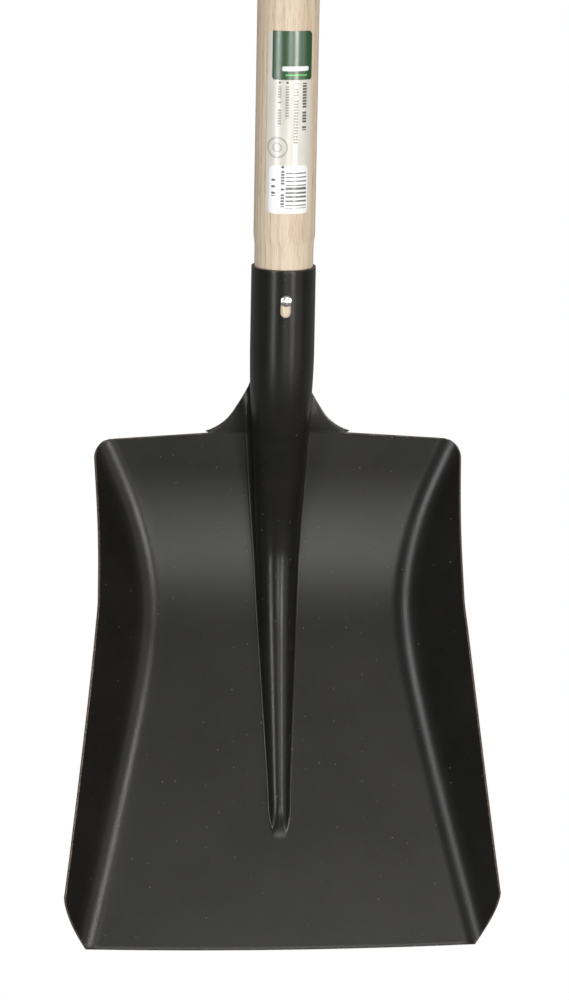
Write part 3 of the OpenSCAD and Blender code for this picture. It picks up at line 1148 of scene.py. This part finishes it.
    def rows(self) -> tuple[list[float], list[float]]:
        """List the rows across the sheet.

        Returns:
            Distances behind the tip on the blade and on the neck.
        """
        blade = [*np.linspace(0, self.corner_back, 15),
                 *np.linspace(self.corner_back, self.rib_start, 17)[1:],
                 *np.linspace(self.rib_start, self.nose_u, 15)[1:],
                 *np.linspace(self.nose_u, self.front_len, 25)[1:],
                 *np.linspace(self.front_len, self.kink_u, 13)[1:],
                 *np.linspace(self.kink_u, self.blade_len - self.heel_len, 16)[1:],
                 *np.linspace(self.blade_len - self.heel_len,
                              self.blade_len - self.rear_corner_r, 5)[1:],
                 *[self.blade_len - self.rear_corner_r + self.rear_corner_r * k
                   for k in (0.15, 0.3, 0.44, 0.57, 0.69, 0.79, 0.87, 0.935, 1.0)]]
        neck = [0.9, 2.0, 3.4, 5.0, 7.0, 9.3, 11.6, 14.0,
                *np.linspace(14.0, self.frog_back, 12)[1:],
                *np.linspace(self.frog_back, self.roll_len, 21)[1:],
                *np.linspace(self.roll_len, self.socket_len, 14)[1:]]
        return blade, [self.blade_len + d for d in neck]

    def columns(self) -> list[float]:
        """List the columns from left to right.

        Returns:
            Column numbers, 0 at the crest.
        """
        half = [*np.linspace(0, self.crest_end, 25)[1:],
                *np.linspace(self.crest_end, self.fillet_end, 9)[1:],
                *np.linspace(self.fillet_end, self.neck_end, 5)[1:],
                *np.linspace(self.neck_end, self.floor_end, 11)[1:],
                *np.linspace(self.floor_end, self.rim_end, 27)[1:]]
        return [-j for j in reversed(half)] + [0.0] + half

    def grid(self) -> tuple[np.ndarray, int, int]:
        """Lay the points in the middle of the sheet.

        Returns:
            The points by row and column, the blade's last row and the neck's first column.
        """
        blade, neck = self.rows()
        columns = self.columns()
        first = next(k for k, j in enumerate(columns) if abs(j) <= self.neck_end + 1e-9)
        made = np.full((len(blade) + len(neck), len(columns), 3), np.nan)
        for i, u in enumerate(blade + neck):
            for k, j in enumerate(columns):
                if i < len(blade) or first <= k < len(columns) - first:
                    made[i, k] = self.sheet_point(u, j)
        return made, len(blade) - 1, first

    @staticmethod
    def normals(grid: np.ndarray) -> np.ndarray:
        """Work out the upward normals of the sheet.

        Args:
            grid: points by row and column, empty outside the sheet.

        Returns:
            One unit vector for each point.
        """
        def step(axis: int) -> np.ndarray:
            """Take the difference of the neighbours along an axis.

            Args:
                axis: 0 for the rows, 1 for the columns.

            Returns:
                One vector for each point.
            """
            ahead, behind = grid.copy(), grid.copy()
            part = [slice(None)] * 2
            rest = [slice(None)] * 2
            part[axis], rest[axis] = slice(0, -1), slice(1, None)
            ahead[tuple(part)] = grid[tuple(rest)]
            behind[tuple(rest)] = grid[tuple(part)]
            ahead = np.where(np.isnan(ahead), grid, ahead)
            behind = np.where(np.isnan(behind), grid, behind)
            return ahead - behind

        n = np.cross(step(1), step(0))
        return n / np.linalg.norm(n, axis=2, keepdims=True)

    def outline(self, rows: int, cols: int, last: int, first: int) -> list[tuple[int, int]]:
        """Walk once round the sheet, anticlockwise from above.

        Args:
            rows: number of rows.
            cols: number of columns.
            last: the blade's last row.
            first: the neck's first column.

        Returns:
            Row and column of each outline point.
        """
        right, neck_right, end = cols - 1, cols - 1 - first, rows - 1
        walk = [(0, k) for k in range(cols)]
        walk += [(i, right) for i in range(1, last + 1)]
        walk += [(last, k) for k in range(right - 1, neck_right - 1, -1)]
        walk += [(i, neck_right) for i in range(last + 1, rows)]
        walk += [(end, k) for k in range(neck_right - 1, first - 1, -1)]
        walk += [(i, first) for i in range(end - 1, last, -1)]
        walk += [(last, k) for k in range(first, -1, -1)]
        walk += [(i, 0) for i in range(last - 1, 0, -1)]
        return walk

    def solid(self) -> tuple[np.ndarray, list, np.ndarray]:
        """Thicken the sheet and round its cut edge.

        Returns:
            Points, faces and the line in the middle of the cut edge.
        """
        mid, last, first = self.grid()
        up = self.normals(mid)
        rows, cols = mid.shape[:2]
        walk = self.outline(rows, cols, last, first)
        edge_i, edge_k = (np.array(x) for x in zip(*walk))
        line, line_up = mid[edge_i, edge_k], up[edge_i, edge_k]
        along = np.roll(line, -1, axis=0) - np.roll(line, 1, axis=0)
        inward = np.cross(line_up, along)
        inward /= np.linalg.norm(inward, axis=1, keepdims=True)

        inner = mid.copy()
        inner[edge_i, edge_k] += inward * self.edge_inset
        half = self.sheet / 2
        index = np.full((rows, cols), -1)
        used = ~np.isnan(mid[:, :, 0])
        index[used] = np.arange(used.sum())
        skins = [inner[used] + side * half * up[used] for side in (1, -1)]
        count = len(skins[0])
        rings = [line + inward * self.edge_inset * inset + line_up * half * rise
                 for inset, rise in ((0.3, 0.86), (0.0, 0.5), (0.0, -0.5), (0.3, -0.86))]
        points = np.vstack(skins + rings)

        faces: list[tuple[int, ...]] = []
        for i in range(rows - 1):
            for k in range(cols - 1):
                quad = (index[i, k], index[i, k + 1], index[i + 1, k + 1], index[i + 1, k])
                if min(quad) >= 0:
                    faces.append(tuple(int(q) for q in quad))
                    faces.append(tuple(int(q) + count for q in reversed(quad)))
        n = len(walk)
        outer = index[edge_i, edge_k]
        loops = [outer, *[2 * count + m * n + np.arange(n) for m in range(4)], outer + count]
        for upper, lower in zip(loops, loops[1:]):
            for k in range(n):
                m = (k + 1) % n
                faces.append((int(upper[k]), int(lower[k]), int(lower[m]), int(upper[m])))
        return points, faces, line

    def slot_cutter(self) -> bpy.types.Object:
        """Build the body that is punched out for the fixing slot.

        Returns:
            The cutter.
        """
        r = self.slot_w / 2
        near = self.socket_len - self.slot_back - r
        far = self.socket_len - self.slot_back - self.slot_len + r
        ring = [(r * math.cos(a), near + r * math.sin(a)) for a in np.linspace(0, math.pi, 33)]
        ring += [(-r * math.cos(a), far - r * math.sin(a)) for a in np.linspace(0, math.pi, 33)]
        low = self.layout.axis_z + self.tube_r - 4
        points = [(x, y + self.layout.shoulder, z) for z in (low, low + 8) for x, y in ring]
        n = len(ring)
        faces: list[tuple[int, ...]] = [tuple(reversed(range(n))), tuple(range(n, 2 * n))]
        faces += [(k, (k + 1) % n, n + (k + 1) % n, n + k) for k in range(n)]
        return make_piece("slot_cutter", np.array(points), faces)

    def mark_edge(self, line: np.ndarray) -> None:
        """Store each point's distance from the cut edge, for the wear.

        Args:
            line: points along the middle of the cut edge.
        """
        tree = kdtree.KDTree(len(line))
        for k, spot in enumerate(line):
            tree.insert(spot, k)
        tree.balance()
        mesh = self.piece.data
        gaps = [min(tree.find(v.co / MM)[2], 8.0) for v in mesh.vertices]
        mesh.attributes.new("edge_gap", "FLOAT", "POINT").data.foreach_set("value", gaps)

    def build(self) -> bpy.types.Object:
        """Build the blade.

        Returns:
            The piece.
        """
        points, faces, line = self.solid()
        shift = np.array([0.0, self.layout.shoulder, 0.0])
        self.piece = make_piece("scoop_blade", points + shift, faces)
        cut(self.piece, self.slot_cutter())
        fine = [a + (b - a) * k / 4 for a, b in zip(line, np.roll(line, -1, axis=0))
                for k in range(4)]
        self.mark_edge(np.array(fine) + shift)
        smooth_faces(self.piece, 42.0)
        return self.piece

    def dress(self, finish: BlackPaint) -> None:
        """Paint the blade and join it to the frame.

        Args:
            finish: its paint.
        """
        place_piece(self.piece, finish.material(), "blade")


def place_piece(piece: bpy.types.Object, material: bpy.types.Material, node: str) -> None:
    """Give a piece its material and body, and hide the CAD node that it stands for.

    Args:
        piece: the piece.
        material: its material.
        node: the CAD node that it stands for.
    """
    piece.data.materials.clear()
    piece.data.materials.append(material)
    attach(piece, BODY)
    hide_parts(node)
    low, high = piece.bound_box[0], piece.bound_box[6]
    cad_low, cad_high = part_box(node)
    LOG.info("%s: %d faces, low %s high %s, off the CAD box by %s mm", piece.name,
             len(piece.data.polygons), [round(v, 4) for v in low], [round(v, 4) for v in high],
             [round((a - b) / MM, 2) for a, b in zip((*low, *high), (*cad_low, *cad_high))])


@dataclass
class AshShaft:
    """Turned ash shaft with its tapered foot in the socket and its spigot in the grip."""

    layout: Layout
    diameter: float = 40.0
    mouth: float = 115.0
    neck_r: float = 19.15
    neck_show: float = 20.0
    frog_back: float = 60.0
    taper_len: float = 53.0
    low_r: float = 0.0
    shaft_len: float = 530.0
    bore_len: float = 40.0
    top_d: float = 36.0
    sides: int = 160
    piece: bpy.types.Object | None = field(default=None, init=False)

    def build(self) -> bpy.types.Object:
        """Build the shaft.

        Returns:
            The piece.
        """
        low = self.frog_back - self.taper_len
        grip = self.mouth + self.shaft_len
        r = self.diameter / 2
        outline = rounded([
            (low, 0.0, 0.0), (low, self.low_r, 1.5), (self.frog_back, self.neck_r, 6.0),
            (self.mouth + self.neck_show - 5, self.neck_r, 2.5),
            (self.mouth + self.neck_show, r, 2.5), (grip - 1.0, r, 0.6), (grip, r - 1.0, 0.3),
            (grip, self.top_d / 2, 0.2), (grip + self.bore_len - 2, self.top_d / 2, 0.8),
            (grip + self.bore_len, self.top_d / 2 - 2, 0.8), (grip + self.bore_len, 0.0, 0.0),
        ])
        points, faces = lathe(outline, self.sides)
        points += np.array([0.0, self.layout.shoulder, self.layout.axis_z])
        self.piece = make_piece("ash_shaft", points, faces, 35.0)
        return self.piece

    def dress(self, finish: AshWood) -> None:
        """Give the shaft its wood and join it to the frame.

        Args:
            finish: its wood.
        """
        place_piece(self.piece, finish.material(), "shaft")


class ScrewPlace(Enum):
    """The three screws: piece name, CAD node and direction of the head."""

    SOCKET = ("socket_fixing_screw", "socket_screw", (0.0, 0.0, 1.0))
    LEFT = ("left_grip_screw", "grip_screw_left", (-1.0, 0.0, 0.0))
    RIGHT = ("right_grip_screw", "grip_screw_right", (1.0, 0.0, 0.0))


@dataclass
class CrossHeadScrew:
    """Pan-head screw with a tapered cross recess."""

    layout: Layout
    place: ScrewPlace
    seat_y: float
    seat_r: float
    head_d: float = 7.6
    head_h: float = 2.6
    shank_d: float = 4.0
    length: float = 14.0
    spin: float = 0.4
    piece: bpy.types.Object | None = field(default=None, init=False)

    def head_outline(self) -> list[tuple[float, float]]:
        """Draw the screw from its point to the top of its head.

        Returns:
            Height and radius of each point.
        """
        r, dome = self.shank_d / 2, self.head_d
        made = [(-self.length, 0.0), (-self.length, r * 0.55), (-self.length + 1.2, r * 0.8)]
        turns = 9
        pitch = (self.length - 3.0) / turns
        for k in range(turns):
            z = -self.length + 1.4 + k * pitch
            made += [(z, r * 0.8), (z + pitch * 0.42, r), (z + pitch * 0.58, r)]
        made += [(-1.2, r * 0.85), (-0.3, r * 0.9), (0.0, r * 0.95)]
        side = self.head_h - dome + math.sqrt(dome**2 - (self.head_d / 2) ** 2)
        made += rounded([(0.0, r, 0.0), (0.0, self.head_d / 2, 0.35),
                         (side, self.head_d / 2, 0.7),
                         (self.head_h - 0.55, self.head_d * 0.4, 0.0)])
        for share_of in (0.34, 0.26, 0.17, 0.08):
            x = self.head_d * share_of
            made.append((self.head_h - dome + math.sqrt(dome**2 - x**2), x))
        made.append((self.head_h, 0.0))
        return made

    def recess(self) -> bpy.types.Object:
        """Build the body of the cross recess.

        Returns:
            The cutter, with its top above the head.
        """
        def cross(arm: float, wide: float, z: float) -> list[Point]:
            """Lay out the corners of a cross.

            Args:
                arm: length of each arm from the middle.
                wide: width of each arm.
                z: height of the cross.

            Returns:
                Its twelve corners in order.
            """
            w, corners = wide / 2, []
            for k in range(4):
                c, s = math.cos(k * math.pi / 2), math.sin(k * math.pi / 2)
                for x, y in ((w, -w), (arm, -w), (arm, w)):
                    corners.append((c * x - s * y, s * x + c * y, z))
            return corners

        low = cross(self.head_d * 0.16, 0.75, self.head_h - 1.35)
        high = cross(self.head_d * 0.31, 1.25, self.head_h + 0.5)
        points = np.array(low + high)
        n = len(low)
        faces: list[tuple[int, ...]] = [tuple(reversed(range(n))), tuple(range(n, 2 * n))]
        faces += [(k, (k + 1) % n, n + (k + 1) % n, n + k) for k in range(n)]
        return make_piece("recess_cutter", points, faces)

    def build(self) -> bpy.types.Object:
        """Build the screw in its place.

        Returns:
            The piece.
        """
        name, _, way = self.place.value
        points, faces = lathe(self.head_outline(), 64)
        points = points[:, [2, 0, 1]]
        self.piece = make_piece(name, points, faces, 32.0)
        cut(self.piece, self.recess())
        smooth_faces(self.piece, 32.0)
        turn = Vector((0, 0, 1)).rotation_difference(Vector(way)).to_matrix().to_4x4()
        seat = Vector((0.0, self.layout.shoulder + self.seat_y, self.layout.axis_z))
        seat += Vector(way) * self.seat_r
        move = Matrix.Translation(seat * MM) @ turn @ Matrix.Rotation(self.spin, 4, "Z")
        self.piece.data.transform(move)
        return self.piece

    def dress(self, material: bpy.types.Material) -> None:
        """Plate the screw and join it to the frame.

        Args:
            material: its plating.
        """
        place_piece(self.piece, material, self.place.value[1])


@dataclass
class DGrip:
    """Moulded grip: neck, two arms and a round hand bar in one piece."""

    layout: Layout
    start: float = 645.0
    neck_r: float = 21.0
    neck_len: float = 48.0
    bore_r: float = 18.1
    bore_len: float = 40.0
    length: float = 135.0
    width: float = 122.0
    bar_r: float = 14.0
    arm_t: float = 15.0
    arm_depth: float = 22.0
    elbow_back: float = 66.0
    voxel: float = 0.95
    piece: bpy.types.Object | None = field(default=None, init=False)

    def neck(self) -> tuple[np.ndarray, list]:
        """Turn the neck.

        Returns:
            Points and faces.
        """
        r, end = self.neck_r, self.neck_len
        outline = rounded([(0.0, 0.0, 0.0), (0.0, r, 1.3), (end - 12, r, 8.0),
                           (end + 4, r - 11, 6.0), (end + 6, 0.0, 0.0)], 8)
        return lathe(outline, 96)

    def arm_path(self) -> list[Vector]:
        """Draw the middle line of the right arm.

        Returns:
            Points from the neck to the hand bar.
        """
        inset = self.width / 2 - self.arm_t / 2
        root = Vector((self.neck_r - self.arm_t / 2 - 3.0, self.neck_len - 10))
        elbow = Vector((inset, self.elbow_back))
        end = Vector((inset, self.length - self.bar_r))
        start = elbow + (root - elbow).normalized() * 20
        stop = elbow + (end - elbow).normalized() * 20
        path = [root.lerp(start, k / 8) for k in range(8)]
        path += [start * (1 - t) ** 2 + elbow * 2 * t * (1 - t) + stop * t**2
                 for t in np.linspace(0, 1, 15)]
        return path + [stop.lerp(end, k / 8) for k in range(1, 9)]

    def arm(self, side: int) -> tuple[np.ndarray, list]:
        """Sweep one arm.

        Args:
            side: 1 for the right arm and -1 for the left one.

        Returns:
            Points and faces.
        """
        path = self.arm_path()
        around, points = 32, []
        for k, spot in enumerate(path):
            ahead = path[min(k + 1, len(path) - 1)] - path[max(k - 1, 0)]
            across = Vector((-ahead.y, ahead.x)).normalized()
            for a in np.arange(around) * 2 * math.pi / around:
                c, s = math.cos(a), math.sin(a)
                w = math.copysign(abs(c) ** 0.6, c) * self.arm_t / 2
                h = math.copysign(abs(s) ** 0.6, s) * self.arm_depth / 2
                points.append((side * (spot.x + across.x * w), spot.y + across.y * w, h))
        n = len(path)
        faces: list[tuple[int, ...]] = []
        for k in range(n - 1):
            for m in range(around):
                p = (m + 1) % around
                faces.append((k * around + m, k * around + p,
                              (k + 1) * around + p, (k + 1) * around + m))
        faces += [tuple(reversed(range(around))),
                  tuple(range((n - 1) * around, n * around))]
        return np.array(points), faces

    def bar(self) -> tuple[np.ndarray, list]:
        """Turn the hand bar, a little fuller in the middle than near the arms.

        Returns:
            Points and faces.
        """
        half, r = self.width / 2, self.bar_r
        body = [(x, r - 0.9 * (x / half) ** 2) for x in np.linspace(-half + 5, half - 5, 25)]
        outline = rounded([(-half, 0.0, 0.0), (-half, r - 1.4, 5.0), *[(*b, 0.0) for b in body],
                           (half, r - 1.4, 5.0), (half, 0.0, 0.0)], 8)
        points, faces = lathe(outline, 96)
        points = np.stack([points[:, 1], -points[:, 0], points[:, 2]], axis=1)
        points[:, 1] += self.length - self.bar_r
        return points, faces

    def build(self) -> bpy.types.Object:
        """Melt neck, arms and bar into one moulded body and bore it.

        Returns:
            The piece.
        """
        points: list[np.ndarray] = []
        faces: list[tuple[int, ...]] = []
        for part, more in (self.neck(), self.arm(1), self.arm(-1), self.bar()):
            base = sum(len(p) for p in points)
            points.append(part)
            faces += [tuple(base + v for v in f) for f in more]
        shift = np.array([0.0, self.layout.shoulder + self.start, self.layout.axis_z])
        self.piece = make_piece("moulded_d_grip", np.vstack(points) + shift, faces)
        work = bmesh.new()
        work.from_mesh(self.piece.data)
        bmesh.ops.recalc_face_normals(work, faces=work.faces)
        work.to_mesh(self.piece.data)
        work.free()
        melt = self.piece.modifiers.new("melt", "REMESH")
        melt.mode = "VOXEL"
        melt.voxel_size = self.voxel * MM
        relax = self.piece.modifiers.new("relax", "SMOOTH")
        relax.factor = 0.5
        relax.iterations = 14
        apply_modifiers(self.piece)
        bore, bore_faces = lathe([(-2.0, 0.0), (-2.0, self.bore_r), (self.bore_len, self.bore_r),
                                  (self.bore_len, 0.0)], 96)
        cut(self.piece, make_piece("bore_cutter", bore + shift, bore_faces))
        self.hold_in_box()
        mesh = self.piece.data
        gaps = [v.co.z / MM - self.layout.axis_z for v in mesh.vertices]
        mesh.attributes.new("seam_gap", "FLOAT", "POINT").data.foreach_set("value", gaps)
        smooth_faces(self.piece, 50.0)
        return self.piece

    def hold_in_box(self) -> None:
        """Keep every point inside the CAD node's box."""
        low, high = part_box("d_grip")
        for v in self.piece.data.vertices:
            v.co = Vector(min(max(c, a), b) for c, a, b in zip(v.co, low, high))

    def dress(self, finish: GripPlastic) -> None:
        """Give the grip its plastic and join it to the frame.

        Args:
            finish: its plastic.
        """
        place_piece(self.piece, finish.material(), "d_grip")


@dataclass
class FilmLabel:
    """Thin printed film stuck round the front of the shaft."""

    layout: Layout
    start: float = 152.0
    length: float = 118.0
    width: float = 31.0
    shaft_r: float = 20.0
    thick: float = 0.2
    corner: float = 3.0
    turn: float = 0.5
    columns: int = 40
    piece: bpy.types.Object | None = field(default=None, init=False)

    def rows(self) -> list[float]:
        """List the rows, closer together in the round corners.

        Returns:
            Distances from the lower end.
        """
        end = [self.corner * (1 - math.cos(math.pi / 2 * k / 8)) for k in range(9)]
        middle = np.linspace(self.corner, self.length - self.corner, 50)[1:-1]
        return [*end, *middle, *[self.length - e for e in reversed(end)]]

    def build(self) -> bpy.types.Object:
        """Build the film and store where each point lies on the print.

        Returns:
            The piece.
        """
        half_turn = self.width / 2 / self.shaft_r
        reach = self.shaft_r * math.sin(half_turn)
        rows, print_mm, skins = self.rows(), [], ([], [])
        for b in rows:
            d = min(b, self.length - b, self.corner)
            edge = math.sqrt(max(0.0, self.corner**2 - (self.corner - d) ** 2))
            half = reach - self.corner + edge
            for k in range(self.columns + 1):
                a = math.asin(half / self.shaft_r) * (2 * k / self.columns - 1)
                print_mm.append((a * self.shaft_r, b, 0.0))
                a += math.radians(self.turn)
                for skin, r in zip(skins, (self.shaft_r + self.thick, self.shaft_r)):
                    skin.append((r * math.sin(a), b, r * math.cos(a)))
        points = np.array(skins[0] + skins[1])
        points += np.array([0.0, self.layout.shoulder + self.start, self.layout.axis_z])
        wide, count = self.columns + 1, len(skins[0])
        faces: list[tuple[int, ...]] = []
        for i in range(len(rows) - 1):
            for k in range(self.columns):
                a = i * wide + k
                quad = (a, a + 1, a + wide + 1, a + wide)
                faces += [quad, tuple(count + q for q in reversed(quad))]
        top = (len(rows) - 1) * wide
        walk = list(range(wide))
        walk += [i * wide + self.columns for i in range(1, len(rows))]
        walk += [top + k for k in range(self.columns - 1, -1, -1)]
        walk += [i * wide for i in range(len(rows) - 2, 0, -1)]
        for a, b in zip(walk, walk[1:] + walk[:1]):
            faces.append((a, a + count, b + count, b))
        self.piece = make_piece("film_label", points, faces, 42.0)
        spots = self.piece.data.attributes.new("print_mm", "FLOAT_VECTOR", "POINT")
        spots.data.foreach_set("vector", np.array(print_mm * 2, np.float32).ravel())
        return self.piece

    def dress(self, finish: PrintedFilm) -> None:
        """Print the film and join it to the frame.

        Args:
            finish: the film and its print.
        """
        place_piece(self.piece, finish.material(), "product_label")


# ---------------------------------------------------------------- studio


@dataclass(frozen=True)
class SoftBox:
    """One soft light: where it stands as seen from the blade, its size and power."""

    name: str
    way: Point
    distance: float
    width: float
    length: float
    power: float
    colour: Colour = (1.0, 1.0, 1.0)

    def build(self, aim: Vector) -> bpy.types.Object:
        """Set up the light.

        Args:
            aim: the point that it shines at.

        Returns:
            The light.
        """
        lamp = bpy.data.lights.new(self.name, "AREA")
        lamp.shape = "RECTANGLE"
        lamp.size, lamp.size_y = self.width, self.length
        lamp.energy, lamp.color = self.power, self.colour
        made = bpy.data.objects.new(self.name, lamp)
        bpy.context.scene.collection.objects.link(made)
        way = Vector(self.way).normalized()
        right = Vector((0.0, 1.0, 0.0)).cross(way).normalized()
        turn = Matrix((right, way.cross(right), way)).transposed().to_4x4()
        made.matrix_world = Matrix.Translation(aim + way * self.distance) @ turn
        return made


@dataclass
class Studio:
    """Floor, soft lights, surroundings and camera."""

    aim_back: float = 0.2928
    aim_up: float = 0.040
    aim_side: float = 0.0015
    look: Point = (0.0978, -0.2250, -0.9694)
    up: Point = (0.004, 0.974, -0.226)
    distance: float = 2.97
    lens: float = 163.8
    floor_half: float = 9.0
    surround: float = 0.16
    boxes: tuple[SoftBox, ...] = (
        SoftBox("top_box_low", (0.10, -0.12, 1.0), 3.3, 0.7, 0.35, 3.5),
        SoftBox("top_box_middle", (0.10, 0.0, 1.0), 3.3, 0.7, 0.35, 10.5),
        SoftBox("top_box_high", (0.10, 0.12, 1.0), 3.3, 0.7, 0.35, 16.5),
        SoftBox("front_box", (0.10, 0.42, 1.0), 3.3, 0.7, 0.35, 3.0),
        SoftBox("left_strip_low", (-0.80, -0.12, 1.0), 1.9, 0.30, 0.22, 6.5, (0.96, 0.98, 1.0)),
        SoftBox("left_strip_high", (-0.83, 0.20, 1.0), 1.9, 0.34, 0.30, 12.5, (0.96, 0.98, 1.0)),
        SoftBox("right_strip_low", (0.58, -0.12, 1.0), 1.9, 0.30, 0.22, 5.0, (1.0, 0.98, 0.95)),
        SoftBox("right_strip_high", (0.54, 0.12, 1.0), 1.9, 0.34, 0.26, 14.0, (1.0, 0.98, 0.95)),
        SoftBox("far_right", (1.4, 0.1, 1.0), 1.9, 0.6, 0.9, 4.0),
    )

    def aim(self) -> Vector:
        """Return the point that the camera and the lights look at."""
        low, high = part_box("blade")
        middle = (low.x + high.x) / 2
        return Vector((middle + self.aim_side, low.y + self.aim_back, self.aim_up))

    def build_camera(self) -> None:
        """Set up the camera."""
        data = bpy.data.cameras.new("camera")
        data.lens = self.lens
        data.clip_end = 50.0
        camera = bpy.data.objects.new("camera", data)
        bpy.context.scene.collection.objects.link(camera)
        look = Vector(self.look).normalized()
        right = look.cross(Vector(self.up)).normalized()
        turn = Matrix((right, right.cross(look), -look)).transposed().to_4x4()
        camera.matrix_world = Matrix.Translation(self.aim() - look * self.distance) @ turn
        bpy.context.scene.camera = camera

    def build_floor(self) -> None:
        """Lay the floor under the lowest point of the part."""
        low, _ = CAD_BOX
        h = self.floor_half / MM
        z = low.z / MM - 0.05
        corners = np.array([(-h, -h, z), (h, -h, z), (h, h, z), (-h, h, z)])
        floor = make_piece("floor", corners, [(0, 1, 2, 3)])
        floor.data.materials.append(StudioFloor().material())

    def build_world(self) -> None:
        """Set the even light of the surroundings and plain colours."""
        world = bpy.data.worlds.new("surroundings")
        bpy.context.scene.world = world
        world.use_nodes = True
        sky = world.node_tree.nodes["Background"]
        sky.inputs["Color"].default_value = (1.0, 1.0, 1.0, 1.0)
        sky.inputs["Strength"].default_value = self.surround
        bpy.context.scene.view_settings.view_transform = "Standard"

    def build(self) -> None:
        """Set up the whole studio."""
        self.build_camera()
        self.build_floor()
        self.build_world()
        for box in self.boxes:
            box.build(self.aim())
        LOG.info("studio: camera, floor and %d lights", len(self.boxes))


def main() -> None:
    """Build and dress every sub-assembly, then the studio round them."""
    logging.basicConfig(level=logging.INFO, format="%(name)s: %(message)s")
    layout = Layout.from_frame(ScoopBlade.socket_len)
    blade = ScoopBlade(layout)
    blade.build()
    blade.dress(BlackPaint())
    foot = blade.frog_back - AshShaft.taper_len
    shaft_low = blade.crest_z(foot) - blade.sheet / 2 - layout.axis_z - FOOT_GAP
    shaft = AshShaft(layout, low_r=shaft_low)
    shaft.build()
    shaft.dress(AshWood())
    zinc = Zinc().material()
    socket_seat = math.sqrt((blade.socket_od / 2) ** 2 - (blade.slot_w / 2) ** 2)
    grip_seat = (DGrip.start + DGrip.bore_len / 2, DGrip.neck_r - HEAD_SINK)
    seats = {ScrewPlace.SOCKET: (blade.socket_len - blade.slot_back - blade.slot_w / 2,
                                 socket_seat),
             ScrewPlace.LEFT: grip_seat, ScrewPlace.RIGHT: grip_seat}
    for place, (seat_y, seat_r) in seats.items():
        screw = CrossHeadScrew(layout, place, seat_y, seat_r)
        screw.build()
        screw.dress(zinc)
    grip = DGrip(layout)
    grip.build()
    grip.dress(GripPlastic())
    label = FilmLabel(layout)
    label.build()
    label.dress(PrintedFilm())
    Studio().build()


if __name__ == "__main__":
    main()
